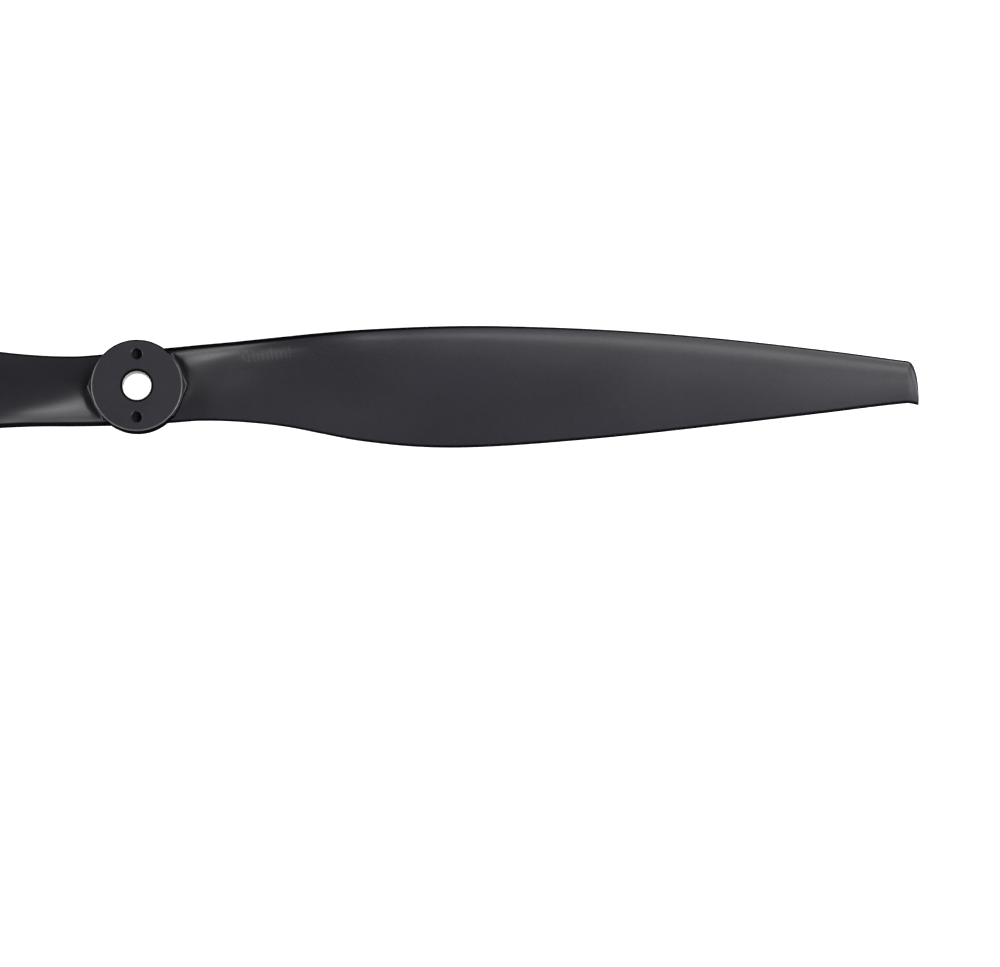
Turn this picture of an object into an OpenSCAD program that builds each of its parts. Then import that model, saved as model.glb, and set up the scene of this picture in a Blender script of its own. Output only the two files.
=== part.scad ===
// Two-blade fixed-pitch propeller for a large model aircraft or multirotor.
// It turns counter-clockwise seen from the front. +Z is the spin axis, pointing to the front,
// +X runs along the right blade, and z = 0 is the back face of the hub.
// Each blade is a shell of two laminate skins around a light core, two carbon strips, a hard
// nose strip, a bond bead at the trailing edge and a solid tip. The blades butt on the hub.

/* [Blades] */
// Diameter of the circle that the tips sweep
prop_d = 431.8; // [410:0.2:460]
// Advance in one turn: it sets the twist
pitch = 254; // [220:1:280]
// Height of the mid-chord line above the back face, outboard of the root
mid_z = 9.35; // [9:0.05:9.8]
// Greatest thickness of the section at the hub
root_thick = 5.6; // [5:0.1:6]
// Greatest thickness of the section at the tip
tip_thick = 1.6; // [1.4:0.1:2.2]
// Thickness of the laminate skins
skin_t = 0.6; // [0.4:0.05:0.7]
// Thickness of the carbon strips under the skins
spar_t = 0.45; // [0.3:0.05:0.5]
// Length of the solid tip, which bends backwards
tip_len = 3.4; // [3:0.1:6]
// How far the tip bends backwards
tip_drop = 0.6; // [0.2:0.1:1]

/* [Hub] */
// Diameter of the hub
hub_d = 25.4; // [24.6:0.1:26]
// Height of the hub
hub_h = 11; // [10.8:0.1:12]
// Radius on the rim of both faces
rim_r = 0.5; // [0.3:0.1:0.8]
// Thickness of the laminate disc on each face
facing_t = 1.2; // [1:0.1:1.5]
// Reach of the pointed collar between the hub and a blade
collar_w = 1.4; // [1.2:0.1:2]
// Step from the front face down to the collar
collar_drop = 2.2; // [1.5:0.1:2.6]

/* [Shaft interface] */
// Bore for the motor shaft
bore_d = 8; // [6:0.1:8.2]
// Wall of the metal bush that lines the bore
bush_wall = 1; // [0.8:0.1:1.3]
// Radius on the front edge of the bore
bore_edge_r = 0.4; // [0.2:0.1:0.5]
// Diameter of the round seat for an adapter ring in the back face
seat_d = 12; // [11.6:0.1:12.4]
// Depth of the seat
seat_h = 3; // [2.5:0.1:4]
// Diameter of the two blind holes for drive pins
pin_d = 3; // [2.5:0.1:3.2]
// Depth of the drive pin holes from the front face
pin_h = 3; // [2.5:0.5:8]
// Distance between the drive pin holes
pin_gap = 17.5; // [17:0.1:18.5]

/* [Hidden] */

$fn = 96;
CARBON = "#26272b";
hub_r = hub_d / 2;
tip_r = prop_d / 2;
tip_start = tip_r - tip_len;
core_end = 0.88 * tip_r;
core_step = 0.05;
chamfer_w = 0.2;

// Outline of a blade by hand: share of the tip radius, leading edge y, trailing edge y
OUTLINE = [
    [0.058, 10.75, -9.6], [0.090, 11.2, -8.9], [0.139, 11.7, -9.15], [0.195, 12.65, -10.4],
    [0.241, 13.6, -12.3], [0.296, 14.65, -14.5], [0.380, 15.65, -16.3], [0.468, 15.95, -16.15],
    [0.607, 15.05, -13.9], [0.741, 12.95, -10.85], [0.880, 9.7, -7.4], [0.984, 6.8, -4.8],
    [1.000, 6.4, -5.25]
];
LEAD = 1;
TRAIL = 2;

// Shares of the chord at which sections are cut, from the trailing edge to the leading edge
BEAD = [0.04, 0.08, 0.13];
AFT = [BEAD[2], 0.25, 0.36, 0.44];
SPAR = [AFT[3], 0.53, 0.62];
FORE = [SPAR[2], 0.72, 0.80, 0.87];
NOSE = [FORE[3], 0.92, 0.955];
lip = 0.002;
CHORD = concat([0, BEAD[0] - lip], BEAD, rest(AFT), rest(SPAR), rest(FORE), rest(NOSE),
    [NOSE[2] + lip, 0.985, 1]);

// Radii at which the blade is cut into sections
ROOT_CUTS = [for (w = [0, 0.4, 0.8, 1.1, 1.5, 4.5]) hub_r + w];
CORE_CUTS = concat(ROOT_CUTS, [for (i = [1 : 12]) mix(hub_r + 4.5, core_end, pow(i / 12, 1.4))]);
SKIN_CUTS = concat(CORE_CUTS, [core_end + core_step, mix(core_end, tip_start, 0.55), tip_start]);
TIP_CUTS = [for (u = [0, 0.25, 0.5, 0.7, 0.85, 0.94, 0.985]) tip_start + u * tip_len];

function mix(a, b, t) = a + (b - a) * t;
function rest(shares) = [for (i = [1 : len(shares) - 1]) shares[i]];

// Smooth curve through column k of OUTLINE at the radius s
function span_of(q, i = 0) = i >= len(OUTLINE) - 2 || q < OUTLINE[i + 1][0] ? i : span_of(q, i + 1);
function slope(k, i) =
    let (a = OUTLINE[max(i - 1, 0)], b = OUTLINE[min(i + 1, len(OUTLINE) - 1)])
    (b[k] - a[k]) / (b[0] - a[0]);
function edge_y(k, s) =
    let (q = s / tip_r, i = span_of(q), a = OUTLINE[i], b = OUTLINE[i + 1])
    let (w = b[0] - a[0], t = (q - a[0]) / w)
    a[k] * (1 + 2 * t) * pow(1 - t, 2) + b[k] * (3 - 2 * t) * t * t
    + slope(k, i) * w * t * pow(1 - t, 2) - slope(k, i + 1) * w * t * t * (1 - t);

// How far a radius lies into the bent tip, from 0 to 1, and what is left of the chord there:
// the end is cut off in a rounded slant with a sharp corner at the trailing edge
function tip_share(s) = max(s - tip_start, 0) / tip_len;
function tip_cut(s) = sqrt(1 - pow(tip_share(s), 2.7));
function trail_y(s) = edge_y(TRAIL, s);
function lead_y(s) = mix(trail_y(s), edge_y(LEAD, s), tip_cut(s));

// Twist is the rise of the chord over its run: constant pitch, washed out towards the hub
wash_r = 34.4;
wash_power = 2.55;
function twist(s) = pitch / (2 * PI * s) * (1 - exp(-pow(s / wash_r, wash_power)));

// The trailing edge stays near the plane of the back face until the chord's middle is at mid_z
trail_lift = 0.5;
root_reach = 4 * hub_r;
function rise(s) = twist(s) * (edge_y(LEAD, s) - trail_y(s));
function trail_z(s) = s < root_reach ? trail_lift : max(mid_z - rise(s) / 2, trail_lift);

// Greatest thickness of the section, and the thickness of its trailing edge
function thick(s) =
    mix(tip_thick, root_thick, pow(max(tip_r - s, 0) / (tip_r - hub_r), 1.6)) * mix(0.45, 1, tip_cut(s));
function trail_thick(s) = 0.4 + 0.08 * thick(s);

// Half thickness of the section at the share c of the chord: a symmetric four-digit section
nose_half = 0.06;
function half_shape(x) =
    5 * (0.2969 * sqrt(x) - 0.1260 * x - 0.3516 * x * x + 0.2843 * pow(x, 3) - 0.1015 * pow(x, 4));
function half(s, c) = thick(s) * half_shape(1 - c) + mix(trail_thick(s) / 2, nose_half, c);

// A point of the section at the share c of the chord, moved by n towards the front
function at(s, c, n) =
    let (b = atan(twist(s)), chord = lead_y(s) - trail_y(s))
    let (y = trail_y(s) + c * chord - n * sin(b))
    let (z = trail_z(s) + c * chord * twist(s) + n * cos(b))
    [sqrt(s * s - y * y), y, z - tip_drop * pow(tip_share(s), 2)];

// The joint of the skins bows forwards, which leaves the back of the blade nearly flat
root_bow = 0.3;
blade_bow = 0.6;
function bow(s) = mix(root_bow, blade_bow, min((s - hub_r) / root_reach, 1));
function joint_n(s, c) = bow(s) * half(s, c);

// Half of the hollow between the skins, and the thickness of the carbon strips in it
function hollow_n(s, c) = half(s, c) - min(skin_t, 0.55 * half(s, c));
function open_n(s, c) =
    s > core_end + core_step / 2 || c < BEAD[0] - lip / 2 || c > NOSE[2] + lip / 2 ? 0 : hollow_n(s, c);
function strip_n(s) = min(spar_t, 0.4 * hollow_n(s, SPAR[1]));

// The collar is a low step round the hub that lifts the front skin. It ends on two straight
// lines that touch the hub and meet in a point on the blade's axis
collar_z = hub_h - collar_drop;
collar_power = 4;
collar_touch = acos(hub_r / (hub_r + collar_w));
function collar_end(p) = max(hub_r / cos(abs(atan2(p[1], p[0])) - collar_touch), hub_r + collar_w / 7);
function collar_n(s, c) =
    let (p = at(s, c, joint_n(s, c) + half(s, c)))
    let (out = min((s - hub_r) / (collar_end(p) - hub_r), 1))
    (1 - pow(out, collar_power)) * max(collar_z - p[2], 0) * min(1, 10 * min(c, 1 - c));

// Sheets of points: front and back of the blade, and both walls of the hollow
function front_sheet(cuts, shares) =
    [for (s = cuts) [for (c = shares) at(s, c, joint_n(s, c) + half(s, c) + collar_n(s, c))]];
function back_sheet(cuts, shares) =
    [for (s = cuts) [for (c = shares) at(s, c, joint_n(s, c) - half(s, c))]];
function hollow_sheet(cuts, shares, side) =
    [for (s = cuts) [for (c = shares) at(s, c, joint_n(s, c) + side * open_n(s, c))]];
function under_strip(cuts, shares, side) =
    [for (s = cuts) [for (c = shares) at(s, c, joint_n(s, c) + side * (open_n(s, c) - strip_n(s)))]];

// Sheets side by side, row for row
function beside(a, b, c) = [for (j = [0 : len(a) - 1]) concat(a[j], b[j], c[j])];
function core_sheet(side) =
    beside(hollow_sheet(CORE_CUTS, AFT, side), under_strip(CORE_CUTS, SPAR, side),
        hollow_sheet(CORE_CUTS, FORE, side));

// Two triangles over four corners, and a triangle turned over
function quad(a, b, c, d) = [[a, b, c], [a, c, d]];
function flip(faces) = [for (f = faces) [f[2], f[1], f[0]]];

// Closed solid between two sheets with the same rows and columns
module slab(front, back) {
    rows = len(front);
    cols = len(front[0]);
    under = rows * cols;
    top = [for (j = [0 : rows - 2], i = [0 : cols - 2], a = j * cols + i)
        quad(a, a + 1, a + cols + 1, a + cols)];
    bottom = [for (pair = top) flip([for (f = pair) [for (v = f) v + under]])];
    ends = [for (i = [0 : cols - 2], a = i, b = i + under - cols)
        concat(quad(a, a + under, a + under + 1, a + 1), flip(quad(b, b + under, b + under + 1, b + 1)))];
    sides = [for (j = [0 : rows - 2], a = j * cols, b = a + cols - 1)
        concat(flip(quad(a, a + under, a + under + cols, a + cols)),
            quad(b, b + under, b + under + cols, b + cols))];
    points = [for (sheet = [front, back], row = sheet, p = row) p];
    polyhedron(points, [for (group = concat(top, bottom, ends, sides), face = group) face]);
}

module front_skin() {
    color(CARBON) slab(front_sheet(SKIN_CUTS, CHORD), hollow_sheet(SKIN_CUTS, CHORD, 1));
}

module back_skin() {
    color(CARBON) slab(hollow_sheet(SKIN_CUTS, CHORD, -1), back_sheet(SKIN_CUTS, CHORD));
}

module blade_core() {
    color("burlywood") slab(core_sheet(1), core_sheet(-1));
}

module front_spar_cap() {
    color("black") slab(hollow_sheet(CORE_CUTS, SPAR, 1), under_strip(CORE_CUTS, SPAR, 1));
}

module back_spar_cap() {
    color("black") slab(under_strip(CORE_CUTS, SPAR, -1), hollow_sheet(CORE_CUTS, SPAR, -1));
}

module leading_edge_strip() {
    color("dimgray") slab(hollow_sheet(CORE_CUTS, NOSE, 1), hollow_sheet(CORE_CUTS, NOSE, -1));
}

module trailing_edge_bead() {
    color("gray") slab(hollow_sheet(CORE_CUTS, BEAD, 1), hollow_sheet(CORE_CUTS, BEAD, -1));
}

module tip_cap() {
    color(CARBON) slab(front_sheet(TIP_CUTS, CHORD), back_sheet(TIP_CUTS, CHORD));
}

// The left blade is the right one turned half a turn about the shaft
module opposite() {
    rotate([0, 0, 180]) children();
}

module right_front_skin() { front_skin(); }
module right_back_skin() { back_skin(); }
module right_blade_core() { blade_core(); }
module right_front_spar_cap() { front_spar_cap(); }
module right_back_spar_cap() { back_spar_cap(); }
module right_leading_edge_strip() { leading_edge_strip(); }
module right_trailing_edge_bead() { trailing_edge_bead(); }
module right_tip_cap() { tip_cap(); }

module left_front_skin() { opposite() front_skin(); }
module left_back_skin() { opposite() back_skin(); }
module left_blade_core() { opposite() blade_core(); }
module left_front_spar_cap() { opposite() front_spar_cap(); }
module left_back_spar_cap() { opposite() back_spar_cap(); }
module left_leading_edge_strip() { opposite() leading_edge_strip(); }
module left_trailing_edge_bead() { opposite() trailing_edge_bead(); }
module left_tip_cap() { opposite() tip_cap(); }

// Both drive pin holes, open to the front
module pin_holes() {
    for (side = [-1, 1]) translate([0, side * pin_gap / 2, hub_h - pin_h]) cylinder(d = pin_d, h = pin_h + 1);
}

module pin_chamfers() {
    for (side = [-1, 1]) translate([0, side * pin_gap / 2, hub_h - chamfer_w])
        cylinder(d1 = pin_d, d2 = pin_d + 4 * chamfer_w, h = 2 * chamfer_w);
}

// What a round edge of radius r leaves of a square corner that points to +X and +Y
module corner_waste(r) {
    difference() {
        square(2 * r);
        circle(r);
    }
}

// Flat ring about the shaft, seen as its section, with a round outer edge on the top
module ring_section(inner_r) {
    difference() {
        translate([inner_r, 0]) square([hub_r - inner_r, facing_t]);
        translate([hub_r - rim_r, facing_t - rim_r]) corner_waste(rim_r);
    }
}

module hub_front_facing() {
    color(CARBON) difference() {
        translate([0, 0, hub_h - facing_t]) rotate_extrude() difference() {
            ring_section(bore_d / 2);
            translate([bore_d / 2 + bore_edge_r, facing_t - bore_edge_r]) mirror([1, 0])
                corner_waste(bore_edge_r);
        }
        pin_holes();
        pin_chamfers();
    }
}

module hub_back_facing() {
    color(CARBON) translate([0, 0, facing_t]) mirror([0, 0, 1]) rotate_extrude() ring_section(seat_d / 2);
}

module hub_block() {
    color("#1d1d20") difference() {
        translate([0, 0, facing_t]) cylinder(r = hub_r, h = hub_h - 2 * facing_t);
        cylinder(d = seat_d, h = seat_h);
        cylinder(d = bore_d + 2 * bush_wall, h = hub_h);
        pin_holes();
    }
}

module bore_bush() {
    color("silver") difference() {
        translate([0, 0, seat_h]) cylinder(d = bore_d + 2 * bush_wall, h = hub_h - facing_t - seat_h);
        cylinder(d = bore_d, h = hub_h);
    }
}

hub_block();
hub_front_facing();
hub_back_facing();
bore_bush();
right_front_skin();
right_back_skin();
right_blade_core();
right_front_spar_cap();
right_back_spar_cap();
right_leading_edge_strip();
right_trailing_edge_bead();
right_tip_cap();
left_front_skin();
left_back_skin();
left_blade_core();
left_front_spar_cap();
left_back_spar_cap();
left_leading_edge_strip();
left_trailing_edge_bead();
left_tip_cap();
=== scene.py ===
import math

import bpy
from mathutils import Matrix, Vector


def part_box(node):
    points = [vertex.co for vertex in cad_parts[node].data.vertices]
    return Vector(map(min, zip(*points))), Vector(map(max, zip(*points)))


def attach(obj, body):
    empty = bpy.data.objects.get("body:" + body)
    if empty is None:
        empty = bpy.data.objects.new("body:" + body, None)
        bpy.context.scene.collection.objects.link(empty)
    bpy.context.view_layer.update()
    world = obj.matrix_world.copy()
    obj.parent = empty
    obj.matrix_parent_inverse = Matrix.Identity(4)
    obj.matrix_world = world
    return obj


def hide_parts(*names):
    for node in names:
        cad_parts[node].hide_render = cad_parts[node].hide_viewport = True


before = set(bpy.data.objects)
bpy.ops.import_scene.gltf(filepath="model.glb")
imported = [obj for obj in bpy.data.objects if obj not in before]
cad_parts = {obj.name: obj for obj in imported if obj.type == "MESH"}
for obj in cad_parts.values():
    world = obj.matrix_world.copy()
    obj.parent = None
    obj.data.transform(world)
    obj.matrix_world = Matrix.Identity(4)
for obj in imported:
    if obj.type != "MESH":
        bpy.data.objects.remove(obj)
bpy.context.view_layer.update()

# ---------------------------------------------------------------- sizes, in millimetres
MM = 0.001


def size_mm(node):
    low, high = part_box(node)
    return [edge / MM for edge in (high - low)]


HUB_R = size_mm("hub_block")[0] / 2
HUB_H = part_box("hub_front_facing")[1].z / MM
TIP_R = 215.9
TIP_LEN = 3.4
TIP_START = TIP_R - TIP_LEN
TIP_DROP = 0.6
PITCH = 254.0
MID_Z = 9.35
ROOT_THICK = 5.6
TIP_THICK = 1.6
SKIN_T = 0.6
COLLAR_W = 1.4
COLLAR_Z = HUB_H - 2.2
COLLAR_TOUCH = math.acos(HUB_R / (HUB_R + COLLAR_W))
HOLLOW_END = 0.88 * TIP_R
HOLLOW_FROM, HOLLOW_TO = 0.04, 0.955

# Outline of a blade: share of the tip radius, leading edge y, trailing edge y
OUTLINE = [
    (0.058, 10.75, -9.6), (0.090, 11.2, -8.9), (0.139, 11.7, -9.15), (0.195, 12.65, -10.4),
    (0.241, 13.6, -12.3), (0.296, 14.65, -14.5), (0.380, 15.65, -16.3), (0.468, 15.95, -16.15),
    (0.607, 15.05, -13.9), (0.741, 12.95, -10.85), (0.880, 9.7, -7.4), (0.984, 6.8, -4.8),
    (1.000, 6.4, -5.25),
]
LEAD, TRAIL = 1, 2


def mix(a, b, t):
    return a + (b - a) * t


def share(t):
    """Keeps a share between 0 and 1."""
    return min(max(t, 0), 1)


# ---------------------------------------------------------------- the blade, as in the CAD
def slope(k, i):
    a, b = OUTLINE[max(i - 1, 0)], OUTLINE[min(i + 1, len(OUTLINE) - 1)]
    return (b[k] - a[k]) / (b[0] - a[0])


def edge_y(k, s):
    q = s / TIP_R
    i = 0
    while i < len(OUTLINE) - 2 and q >= OUTLINE[i + 1][0]:
        i += 1
    a, b = OUTLINE[i], OUTLINE[i + 1]
    w = b[0] - a[0]
    t = (q - a[0]) / w
    rest = 1 - t
    return (a[k] * (1 + 2 * t) * rest ** 2 + b[k] * (3 - 2 * t) * t * t
            + slope(k, i) * w * t * rest ** 2 - slope(k, i + 1) * w * t * t * rest)


def tip_share(s):
    return max(s - TIP_START, 0) / TIP_LEN


def tip_cut(s):
    """Share of the chord that is left towards the rounded corner of the tip."""
    roundness = 2.7
    return math.sqrt(max(1 - tip_share(s) ** roundness, 0))


def trail_y(s):
    return edge_y(TRAIL, s)


def lead_y(s):
    return mix(trail_y(s), edge_y(LEAD, s), tip_cut(s))


def twist(s):
    """Rise of the chord over its run: constant pitch, washed out towards the hub."""
    wash_r, wash_power = 34.4, 2.55
    return PITCH / (2 * math.pi * s) * (1 - math.exp(-(s / wash_r) ** wash_power))


TRAIL_LIFT = 0.5
LIFT_BLEND = 0.6
ROOT_REACH = 4 * HUB_R
BOW_REACH = 5.5 * HUB_R


def trail_z(s):
    """Height of the trailing edge: level near the hub, then rising without a kink."""
    if s < ROOT_REACH:
        return TRAIL_LIFT
    level = MID_Z - twist(s) * (edge_y(LEAD, s) - trail_y(s)) / 2
    near = max(LIFT_BLEND - abs(level - TRAIL_LIFT), 0)
    return max(level, TRAIL_LIFT) + near ** 2 / (4 * LIFT_BLEND)


def thick(s):
    """Greatest thickness of the section at the radius s."""
    taper_power, corner_share = 1.6, 0.45
    inward = (max(TIP_R - s, 0) / (TIP_R - HUB_R)) ** taper_power
    return mix(TIP_THICK, ROOT_THICK, inward) * mix(corner_share, 1, tip_cut(s))


def trail_thick(s):
    least, growth = 0.4, 0.08
    return least + growth * thick(s)


def half(s, c):
    """Half thickness, of a four-digit aerofoil, at the share c of the chord from the trailing edge."""
    x = 1 - c
    shape = 5 * (0.2969 * math.sqrt(max(x, 0)) - 0.1260 * x - 0.3516 * x * x + 0.2843 * x ** 3
                 - 0.1015 * x ** 4)
    nose_half = 0.06
    return thick(s) * shape + mix(trail_thick(s) / 2, nose_half, c)


def at(s, c, n):
    """A point of the section at the radius s, moved by n towards the front."""
    b = math.atan(twist(s))
    chord = lead_y(s) - trail_y(s)
    y = trail_y(s) + c * chord - n * math.sin(b)
    z = trail_z(s) + c * chord * twist(s) + n * math.cos(b)
    return Vector((math.sqrt(max(s * s - y * y, 0)), y, z - TIP_DROP * tip_share(s) ** 2))


def joint_n(s, c):
    """Height of the joint between the skins: the section bows more and more to the front."""
    root_bow, blade_bow = 0.3, 0.6
    t = min((s - HUB_R) / BOW_REACH, 1)
    return mix(root_bow, blade_bow, t * t * (3 - 2 * t)) * half(s, c)


def hollow_n(s, c):
    """Half height of the hollow inside the skins, which holds the core."""
    if s > HOLLOW_END or not HOLLOW_FROM < c < HOLLOW_TO:
        return 0.0
    most_share = 0.55
    return half(s, c) - min(SKIN_T, most_share * half(s, c))


def skin_half(s, c):
    """Half thickness of the moulded outside, with the trailing edge rounded over."""
    edge_r = trail_thick(s) / 2
    least_share = 0.04
    back = 1 - min(c * (lead_y(s) - trail_y(s)) / edge_r, 1)
    return half(s, c) * max(math.sqrt(1 - back * back), least_share)


def collar_end(angle):
    """Radius at which the pointed collar ends: two straight lines that touch the hub."""
    least_w = COLLAR_W / 7
    return max(HUB_R / math.cos(abs(angle) - COLLAR_TOUCH), HUB_R + least_w)


def front_point(s, c, proud=0.0):
    return at(s, c, joint_n(s, c) + skin_half(s, c) + proud)


def front_over(x, y):
    """The point of the blade's front that has the given x and y."""
    s = math.hypot(x, y)
    low, high = 0.0, 1.0
    halvings = 24
    for _ in range(halvings):
        c = (low + high) / 2
        if front_point(s, c).y < y:
            low = c
        else:
            high = c
    return front_point(s, (low + high) / 2)


def back_point(s, c):
    return at(s, c, joint_n(s, c) - skin_half(s, c))


# ---------------------------------------------------------------- meshes
def steps(a, b, count):
    return [mix(a, b, i / count) for i in range(count + 1)]


ROOT_FINE = HUB_R + 2.5
SKIN_CUTS = (steps(HUB_R, ROOT_FINE, 50)[:-1] + steps(ROOT_FINE, HOLLOW_END, 130)
             + steps(HOLLOW_END + 0.05, TIP_START, 18))
TIP_CUTS = [TIP_START + TIP_LEN * math.sin(math.radians(a)) for a in steps(0, 80, 26)]
CHORD = [(1 - math.cos(math.pi * t)) / 2 for t in steps(0, 1, 110)]
HALF_TURN = Matrix.Rotation(math.pi, 4, "Z")


def make_piece(name, points, faces, material, sharp_deg=35):
    """A mesh object from points in millimetres, smooth but for its sharp edges."""
    mesh = bpy.data.meshes.new(name)
    mesh.from_pydata([p * MM for p in points], [], faces)
    mesh.validate()
    mesh.shade_smooth()
    mesh.set_sharp_from_angle(angle=math.radians(sharp_deg))
    mesh.materials.append(material)
    piece = bpy.data.objects.new(name, mesh)
    bpy.context.scene.collection.objects.link(piece)
    return piece


def set_attribute(piece, name, values):
    piece.data.attributes.new(name, "FLOAT", "POINT").data.foreach_set("value", values)


def mark_edge_shade(piece, cuts):
    """Marks the points of a shell that lie next to its leading and trailing edges, where painted shade
    darkens and dulls the skin.
    """
    trail_w, lead_w_root, lead_w_blade, narrowing = 1.35, 0.9, 0.5, 14
    marks = []
    for s in cuts:
        lead_w = mix(lead_w_root, lead_w_blade, min((s - HUB_R) / narrowing, 1))
        chord = lead_y(s) - trail_y(s)
        marks += [max(0, 1 - (1 - c) * chord / lead_w, 1 - c * chord / trail_w) for c in CHORD]
    set_attribute(piece, "painted_shade", marks * 2)


def slab(name, front, back, material):
    """A closed solid between two sheets of points with the same rows and columns."""
    rows, cols = len(front), len(front[0])
    under = rows * cols
    points = [p for sheet in (front, back) for row in sheet for p in row]
    faces = []
    for j in range(rows - 1):
        for i in range(cols - 1):
            a = j * cols + i
            faces.append((a, a + cols, a + cols + 1, a + 1))
            faces.append((a + under, a + under + 1, a + under + cols + 1, a + under + cols))
    for i in range(cols - 1):
        a, b = i, (rows - 1) * cols + i
        faces.append((a, a + 1, a + 1 + under, a + under))
        faces.append((b, b + under, b + under + 1, b + 1))
    for j in range(rows - 1):
        a, b = j * cols, j * cols + cols - 1
        faces.append((a, a + under, a + under + cols, a + cols))
        faces.append((b, b + cols, b + cols + under, b + under))
    return make_piece(name, points, faces, material)


def sheet(cuts, point):
    return [[point(s, c) for c in CHORD] for s in cuts]


def hollow_wall(side):
    return lambda s, c: at(s, c, joint_n(s, c) + side * hollow_n(s, c))


def settle(piece, slot_name, *nodes, opposite=False):
    """Turns the left blade's pieces half a turn, and ties a piece to the frame."""
    if opposite:
        piece.data.transform(HALF_TURN)
    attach(piece, "root")
    if nodes:
        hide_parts(*nodes)
    return piece


def make_blade(side, material):
    opposite = side == "left"
    front = slab(side + "_front_shell", sheet(SKIN_CUTS, front_point), sheet(SKIN_CUTS, hollow_wall(1)),
                 material)
    mark_edge_shade(front, SKIN_CUTS)
    settle(front, "skin", side + "_front_skin", opposite=opposite)
    back = slab(side + "_back_shell", sheet(SKIN_CUTS, hollow_wall(-1)), sheet(SKIN_CUTS, back_point),
                material)
    mark_edge_shade(back, SKIN_CUTS)
    settle(back, "skin", side + "_back_skin", opposite=opposite)
    tip = slab(side + "_tip_shell", sheet(TIP_CUTS, front_point), sheet(TIP_CUTS, back_point), material)
    mark_edge_shade(tip, TIP_CUTS)
    settle(tip, "skin", side + "_tip_cap", opposite=opposite)


def make_collar(side, material):
    """The low pointed step between the hub and a blade, with a painted highlight on its ridge on the
    leading side and painted shade in its outer corner on the trailing side.
    """
    flank_power, sunk, lap = 9, 0.35, 0.04
    ridge, ridge_w = 0.88, 0.3
    shade_start, shade_w, shade_turn = 0.6, 0.2, 3
    outs = [0.0, 0.25] + steps(0.4, 1.0, 24)
    angles = [math.radians(a) for a in steps(-40, 44, 168)]
    front, back, corner_shade, wear_and_highlight = [], [], [], []
    for out in outs:
        top, bottom = [], []
        for angle in angles:
            r = mix(HUB_R, collar_end(angle), out)
            under = front_over(r * math.cos(angle), r * math.sin(angle))
            lift = (1 - out ** flank_power) * (COLLAR_Z - under.z)
            top.append(Vector((under.x, under.y, under.z + max(lift, -sunk) - lap * out)))
            bottom.append(Vector((under.x, under.y, under.z - 2 * sunk)))
            behind = share(0.5 - under.y / shade_turn)
            corner_shade.append(behind * share((out - shade_start) / shade_w))
            wear_and_highlight.append((1 - behind) * share(1 - abs(out - ridge) / ridge_w))
        front.append(top)
        back.append(bottom)
    collar = slab(side + "_collar", front, back, material)
    set_attribute(collar, "painted_shade", corner_shade * 2)
    set_attribute(collar, "wear_and_highlight", wear_and_highlight * 2)
    settle(collar, "skin", opposite=side == "left")


# ---------------------------------------------------------------- marks on the blades
def on_front(along, down, proud):
    """The point of the front that lies at the radius along and down millimetres from the nose."""
    chord = (lead_y(along) - trail_y(along)) / math.cos(math.atan(twist(along)))
    return front_point(along, 1 - down / chord, proud)


def ribbon(name, path, width, material, slot_name, proud, opposite=False):
    """A thin strip of paint or engraving along a path of (along, down) pairs on the front."""
    depth = 0.03
    front, back = [], []
    for k, (u, v) in enumerate(path):
        u0, v0 = path[max(k - 1, 0)]
        u1, v1 = path[min(k + 1, len(path) - 1)]
        run = math.hypot(u1 - u0, v1 - v0)
        across = ((v1 - v0) / run, -(u1 - u0) / run)
        row = [(u + across[0] * w, v + across[1] * w) for w in steps(width / 2, -width / 2, 4)]
        front.append([on_front(x, y, proud) for x, y in row])
        back.append([on_front(x, y, proud - depth) for x, y in row])
    return settle(slab(name, front, back, material), slot_name, opposite=opposite)


def line(u0, v0, u1, v1, count=8):
    return [(mix(u0, u1, k / count), mix(v0, v1, k / count)) for k in range(count + 1)]


def make_engraving(material):
    """A generic arrow head and a scale of ticks, where the size code is on the real blade."""
    first, top, tall, gap, ticks = 33.2, 1.6, 3.2, 1.25, 9
    head, point, middle = first - 1.4, first - 3.2, top + tall / 2
    stroke_w, proud = 0.24, 0.01
    strokes = [line(head, top, point, middle), line(point, middle, head, top + tall),
               line(head, top + tall, head, top)]
    for k in range(ticks):
        u = first + gap * k
        short = 0 if k % 4 == 0 else 1.1
        strokes.append(line(u, top + short, u, top + tall))
    for k, path in enumerate(strokes):
        ribbon(f"engraved_mark_{k + 1}", path, stroke_w, material, "skin", proud)


def make_print(material):
    """A generic white print: slanted bars that grow outwards over a thin line."""
    first, gap, down, tall, slant, bars = 88.0, 4.4, 12.0, 7.0, 2.4, 5
    proud = 0.02
    for k in range(bars):
        u = first + gap * k
        width = 0.8 + 0.45 * k
        path = line(u, down, u + slant, down + tall)
        ribbon(f"print_bar_{k + 1}", path, width, material, None, proud, opposite=True)
    line_w, foot = 0.6, down + tall + 1.8
    path = line(first - 2.0, foot, first + 24.0, foot, 24)
    ribbon("print_line", path, line_w, material, None, proud, opposite=True)


# ---------------------------------------------------------------- materials
def new_material(name, color, roughness, metallic=0.0, specular=0.5):
    material = bpy.data.materials.new(name)
    material.use_nodes = True
    shader = material.node_tree.nodes["Principled BSDF"]
    shader.inputs["Base Color"].default_value = (*color, 1)
    shader.inputs["Roughness"].default_value = roughness
    shader.inputs["Metallic"].default_value = metallic
    shader.inputs["Specular IOR Level"].default_value = specular
    return material, material.node_tree, shader


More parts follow.
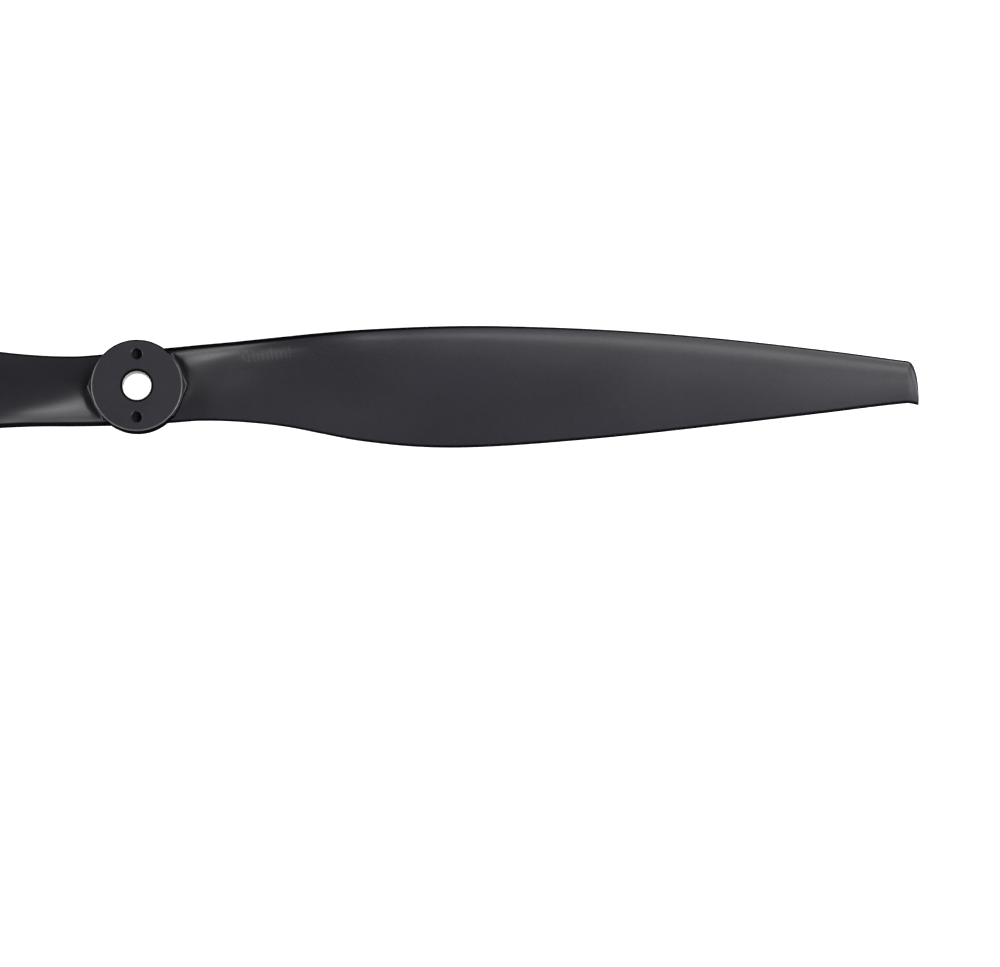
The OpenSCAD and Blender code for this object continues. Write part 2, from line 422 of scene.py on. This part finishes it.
def add_noise(tree, scale, detail, stretch=(1, 1, 1)):
    """Noise in the object's own coordinates; scale is in cells a metre."""
    place = tree.nodes.new("ShaderNodeTexCoord")
    fit = tree.nodes.new("ShaderNodeMapping")
    fit.inputs["Scale"].default_value = stretch
    noise = tree.nodes.new("ShaderNodeTexNoise")
    noise.inputs["Scale"].default_value = scale
    noise.inputs["Detail"].default_value = detail
    tree.links.new(place.outputs["Object"], fit.inputs["Vector"])
    tree.links.new(fit.outputs["Vector"], noise.inputs["Vector"])
    return noise.outputs["Fac"]


def remap(tree, value, low, high):
    """Spreads the middle of a noise, which seldom leaves it, from low to high."""
    node = tree.nodes.new("ShaderNodeMapRange")
    node.inputs["From Min"].default_value = 0.3
    node.inputs["From Max"].default_value = 0.7
    node.inputs["To Min"].default_value = low
    node.inputs["To Max"].default_value = high
    tree.links.new(value, node.inputs["Value"])
    return node.outputs["Result"]


def ramp(tree, value, start, end):
    """0 at start and before it, 1 at end and beyond it."""
    node = tree.nodes.new("ShaderNodeMapRange")
    node.inputs["From Min"].default_value = start
    node.inputs["From Max"].default_value = end
    tree.links.new(value, node.inputs["Value"])
    return node.outputs["Result"]


def blend_colors(tree, factor, a, b):
    node = tree.nodes.new("ShaderNodeMix")
    node.data_type = "RGBA"
    node.inputs["A"].default_value = (*a, 1)
    node.inputs["B"].default_value = (*b, 1)
    tree.links.new(factor, node.inputs["Factor"])
    return node.outputs["Result"]


def add_bump(tree, shader, height, strength, distance):
    bump = tree.nodes.new("ShaderNodeBump")
    bump.inputs["Strength"].default_value = strength
    bump.inputs["Distance"].default_value = distance
    tree.links.new(height, bump.inputs["Height"])
    tree.links.new(bump.outputs["Normal"], shader.inputs["Normal"])


def blend_values(tree, factor, a, b):
    """From the value or socket a to the number b."""
    node = tree.nodes.new("ShaderNodeMix")
    tree.links.new(factor, node.inputs["Factor"])
    if isinstance(a, bpy.types.NodeSocket):
        tree.links.new(a, node.inputs["A"])
    else:
        node.inputs["A"].default_value = a
    node.inputs["B"].default_value = b
    return node.outputs["Result"]


def tint(tree, factor, color, target):
    """From the color socket to a fixed color, by the factor."""
    node = tree.nodes.new("ShaderNodeMix")
    node.data_type = "RGBA"
    tree.links.new(factor, node.inputs["Factor"])
    tree.links.new(color, node.inputs["A"])
    node.inputs["B"].default_value = (*target, 1)
    return node.outputs["Result"]


# Paints shade: tints the colour towards a dull black by the factor.
def darken(tree, factor, color):
    dull_black = (0.002, 0.002, 0.003)
    return tint(tree, factor, color, dull_black)


# Paints light: tints the colour towards a grey by the factor, for painted highlights and painted light.
def lighten(tree, factor, color, lit_grey):
    return tint(tree, factor, color, (lit_grey, lit_grey, 1.05 * lit_grey))


DULL_ROUGHNESS, DULL_SPECULAR = 0.6, 0.04


def satin_black(name, dark, light, roughness):
    """Satin black composite out of a polished mould: cloudy colour and gloss, a very fine grain."""
    cloud_cells, grain_cells, grain_color = 45, 2400, (0.045, 0.045, 0.052)
    material, tree, shader = new_material(name, light, roughness)
    clouds = add_noise(tree, cloud_cells, 3, (0.5, 1, 1))
    color = blend_colors(tree, remap(tree, clouds, 0, 1), dark, light)
    grain = add_noise(tree, grain_cells, 3)
    color = tint(tree, remap(tree, grain, 0, 0.4), color, grain_color)
    gloss = remap(tree, add_noise(tree, 60, 6), roughness - 0.02, roughness + 0.02)
    add_bump(tree, shader, grain, 0.03, 0.00003)
    return material, tree, shader, color, gloss


def skin_material():
    """The skins, with painted shade along the edges and in the collars' corners, and a painted
    highlight along the collars' ridges.
    """
    material, tree, shader, color, gloss = satin_black(
        "moulded_black", (0.0165, 0.0160, 0.0210), (0.0240, 0.0230, 0.0300), 0.30)
    # Painted shade: the edges and the collars' corners are tinted towards black, made rougher and lose
    # their reflection.
    painted_shade = tree.nodes.new("ShaderNodeAttribute")
    painted_shade.attribute_name = "painted_shade"
    edge = ramp(tree, painted_shade.outputs["Fac"], 0.15, 0.5)
    # Painted highlight: the collars' ridges are tinted towards a light grey.
    wear_and_highlight = tree.nodes.new("ShaderNodeAttribute")
    wear_and_highlight.attribute_name = "wear_and_highlight"
    color = lighten(tree, wear_and_highlight.outputs["Fac"], color, 0.18)
    tree.links.new(darken(tree, edge, color), shader.inputs["Base Color"])
    tree.links.new(blend_values(tree, edge, gloss, DULL_ROUGHNESS), shader.inputs["Roughness"])
    tree.links.new(blend_values(tree, edge, 0.5, DULL_SPECULAR), shader.inputs["Specular IOR Level"])
    return material


def math_node(tree, operation, a, b=0.0):
    node = tree.nodes.new("ShaderNodeMath")
    node.operation = operation
    for socket, value in zip(node.inputs, (a, b)):
        if isinstance(value, bpy.types.NodeSocket):
            tree.links.new(value, socket)
        else:
            socket.default_value = value
    return node.outputs["Value"]


def hub_material():
    """The hub: a painted highlight on its front rim; painted shade on its sides and walls, on the
    bore's edge and on the rim's far side; painted light on the pin holes' floors.
    """
    material, tree, shader, color, gloss = satin_black(
        "hub_black", (0.0220, 0.0208, 0.0268), (0.0315, 0.0298, 0.0380), 0.30)
    facing = tree.nodes.new("ShaderNodeNewGeometry")
    normal = tree.nodes.new("ShaderNodeSeparateXYZ")
    tree.links.new(facing.outputs["True Normal"], normal.inputs["Vector"])
    up = math_node(tree, "ABSOLUTE", normal.outputs["Z"])
    coord = tree.nodes.new("ShaderNodeTexCoord")
    place = tree.nodes.new("ShaderNodeSeparateXYZ")
    tree.links.new(coord.outputs["Object"], place.inputs["Vector"])
    x, y = place.outputs["X"], place.outputs["Y"]
    radius = math_node(tree, "SQRT", math_node(
        tree, "ADD", math_node(tree, "MULTIPLY", x, x), math_node(tree, "MULTIPLY", y, y)))
    # Painted shade: the bore's edge, the sides and walls and the rim's far side are tinted towards
    # black and lose their gloss.
    bore_edge = ramp(tree, radius, 4.75 * MM, 4.55 * MM)
    side = ramp(tree, up, 0.6, 0.4)
    rim_behind = ramp(tree, radius, 12.22 * MM, 12.32 * MM)
    behind = math_node(tree, "MULTIPLY", ramp(tree, y, 5 * MM, 9 * MM), rim_behind)
    hub_shade = math_node(tree, "MAXIMUM", bore_edge, math_node(tree, "MAXIMUM", side, behind))
    # Painted highlight: the front rim is tinted towards a light grey.
    rim_zone = ramp(tree, radius, 11.8 * MM, 12.1 * MM)
    rim_highlight = math_node(tree, "MULTIPLY", rim_zone, ramp(tree, up, 0.985, 0.93))
    # Painted light: the floors of the pin holes are tinted lighter.
    deep = ramp(tree, place.outputs["Z"], 8.8 * MM, 8.4 * MM)
    pin_floor_light = math_node(tree, "MULTIPLY", deep, ramp(tree, up, 0.9, 0.95))
    color = darken(tree, hub_shade, lighten(tree, rim_highlight, lighten(tree, pin_floor_light, color, 0.06), 0.11))
    tree.links.new(color, shader.inputs["Base Color"])
    tree.links.new(blend_values(tree, hub_shade, gloss, DULL_ROUGHNESS), shader.inputs["Roughness"])
    tree.links.new(blend_values(tree, hub_shade, 0.5, DULL_SPECULAR), shader.inputs["Specular IOR Level"])
    return material


def machined_metal():
    material, tree, shader = new_material("bush_metal", (0.88, 0.87, 0.86), 0.4, metallic=0.1)
    turned = add_noise(tree, 900, 2, (0.02, 0.02, 6))
    tree.links.new(remap(tree, turned, 0.3, 0.5), shader.inputs["Roughness"])
    add_bump(tree, shader, turned, 0.15, 0.00003)
    return material


def light_wood():
    material, tree, shader = new_material("core_wood", (0.60, 0.44, 0.27), 0.7)
    grain = add_noise(tree, 500, 8, (0.04, 1, 1))
    color = blend_colors(tree, remap(tree, grain, 0, 1), (0.50, 0.35, 0.20), (0.68, 0.52, 0.34))
    tree.links.new(color, shader.inputs["Base Color"])
    add_bump(tree, shader, grain, 0.3, 0.0001)
    return material


def carbon_strip():
    material, tree, shader = new_material("carbon_strip", (0.018, 0.018, 0.02), 0.3)
    fibres = add_noise(tree, 3000, 3, (0.01, 1, 1))
    tree.links.new(remap(tree, fibres, 0.2, 0.42), shader.inputs["Roughness"])
    add_bump(tree, shader, fibres, 0.3, 0.00004)
    return material


def cured_resin():
    material, tree, shader = new_material("cured_resin", (0.05, 0.045, 0.04), 0.25)
    flow = add_noise(tree, 400, 4)
    tree.links.new(remap(tree, flow, 0.18, 0.34), shader.inputs["Roughness"])
    return material


def printed_white():
    material, tree, shader = new_material("printed_white", (0.8, 0.8, 0.8), 0.5)
    wear_and_highlight = add_noise(tree, 1800, 5)
    color = blend_colors(tree, remap(tree, wear_and_highlight, 0, 1), (0.70, 0.70, 0.71), (0.84, 0.84, 0.84))
    tree.links.new(color, shader.inputs["Base Color"])
    return material


def engraved_grey():
    material, tree, shader = new_material("engraved_grey", (0.045, 0.045, 0.05), 0.5)
    burr = add_noise(tree, 4000, 4)
    color = blend_colors(tree, remap(tree, burr, 0, 1), (0.034, 0.034, 0.038), (0.055, 0.055, 0.06))
    tree.links.new(color, shader.inputs["Base Color"])
    add_bump(tree, shader, burr, 0.3, 0.00005)
    return material


def paint_node(name, material):
    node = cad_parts[name]
    node.data.materials.clear()
    node.data.materials.append(material)


def paint_cad(hub_black, skin_black):
    metal, wood, strip, resin = machined_metal(), light_wood(), carbon_strip(), cured_resin()
    for name in ("hub_block", "hub_front_facing", "hub_back_facing"):
        paint_node(name, hub_black)
    paint_node("bore_bush", metal)
    for side in ("right", "left"):
        paint_node(side + "_blade_core", wood)
        for name in ("_front_spar_cap", "_back_spar_cap"):
            paint_node(side + name, strip)
        for name in ("_leading_edge_strip", "_trailing_edge_bead"):
            paint_node(side + name, resin)
        for name in ("_front_skin", "_back_skin", "_tip_cap"):
            paint_node(side + name, skin_black)


# ---------------------------------------------------------------- studio
def glowing(name, color, glow):
    material, _, shader = new_material(name, color, 0.9, specular=0.0)
    shader.inputs["Emission Color"].default_value = (1, 1, 1, 1)
    shader.inputs["Emission Strength"].default_value = glow
    return material


WHITE_GLOW = 0.92


def make_floor():
    half_w, below = 6.0, 0.4 * MM
    corners = [Vector((x, y, 0)) / MM for x, y in
               ((-half_w, -half_w), (half_w, -half_w), (half_w, half_w), (-half_w, half_w))]
    white = glowing("floor_white", (0.8, 0.8, 0.8), WHITE_GLOW)
    floor = make_piece("floor", corners, [(0, 1, 2, 3)], white)
    floor.location.z = -below
    floor.visible_glossy = False


def make_backdrop():
    """A pale wall all round, which only the camera sees."""
    bpy.ops.mesh.primitive_cylinder_add(vertices=96, radius=7.5, depth=16)
    wall = bpy.context.object
    wall.name = "backdrop"
    wall.data.materials.append(glowing("backdrop_white", (0, 0, 0), WHITE_GLOW))
    wall.visible_glossy = False
    wall.visible_diffuse = False
    wall.visible_shadow = False


# Softboxes: name, tilt from straight above and turn from +X in degrees, power in watts
HIGH_BOXES = [
    ("top_right", 17, 0, 0.336),
    ("top_right_back", 26, 51, 0.126),
    ("top_right_front", 35, 320, 0.290),
    ("right_back_high", 35, 40, 0.069),
    ("right_back", 44, 32, 0.181),
    ("right", 54, 0, 0.478),
    ("back_right", 54, 55, 0.534),
    ("left_high", 44, 163, 0.089),
    ("left", 54, 166, 0.276),
    ("left_front_high", 44, 229, 0.192),
    ("left_front", 54, 193, 0.166),
    ("left_low", 66, 192, 0.796),
    ("right_front_low", 66, 336, 1.328),
]
FLOOR_BOXES = [
    ("left_floor", 80, 180, 0.784),
    ("left_front_floor", 80, 225, 0.211),
    ("front_floor", 80, 315, 0.508),
]


def add_softbox(name, tilt, turn, power, reach, size):
    """A softbox at a distance of reach metres, aimed at the part."""
    lamp = bpy.data.lights.new(name, "AREA")
    lamp.shape = "RECTANGLE"
    lamp.size, lamp.size_y = size
    lamp.energy = power
    softbox = bpy.data.objects.new(name, lamp)
    bpy.context.scene.collection.objects.link(softbox)
    aim = Vector((0.08, 0, 0))
    t, p = math.radians(tilt), math.radians(turn)
    away = Vector((math.sin(t) * math.cos(p), math.sin(t) * math.sin(p), math.cos(t)))
    softbox.location = aim + away * reach
    softbox.rotation_euler = (aim - softbox.location).to_track_quat("-Z", "Y").to_euler()
    softbox.visible_camera = False


def make_lights():
    """Soft light from the right and from the left, with dark gaps behind and in front."""
    for box in HIGH_BOXES:
        add_softbox(*box, reach=0.5, size=(0.15, 0.15))
    for box in FLOOR_BOXES:
        add_softbox(*box, reach=0.55, size=(0.35, 0.12))
    world = bpy.data.worlds.new("studio")
    bpy.context.scene.world = world
    world.use_nodes = True
    world.node_tree.nodes["Background"].inputs["Color"].default_value = (0.8, 0.85, 1.0, 1)
    world.node_tree.nodes["Background"].inputs["Strength"].default_value = 0.004


def make_camera():
    """Nearly straight above, tipped a little to -Y, with the hub at the left of the frame."""
    width, distance, tip = 0.2756, 3.0, math.radians(4.78)
    aim = Vector((0.1002, -0.0272, HUB_H * MM))
    data = bpy.data.cameras.new("camera")
    data.sensor_width = 36
    data.lens = data.sensor_width * distance / width
    data.clip_end = 100
    camera = bpy.data.objects.new("camera", data)
    bpy.context.scene.collection.objects.link(camera)
    back = Vector((0, -math.sin(tip), math.cos(tip)))
    camera.location = aim + back * distance
    camera.rotation_euler = (tip, 0, 0)
    bpy.context.scene.camera = camera


def main():
    skin_black, hub_black = skin_material(), hub_material()
    paint_cad(hub_black, skin_black)
    for side in ("right", "left"):
        make_blade(side, skin_black)
        make_collar(side, skin_black)
    make_engraving(engraved_grey())
    make_print(printed_white())
    make_floor()
    make_backdrop()
    make_lights()
    make_camera()
    bpy.context.scene.view_settings.view_transform = "Standard"


main()
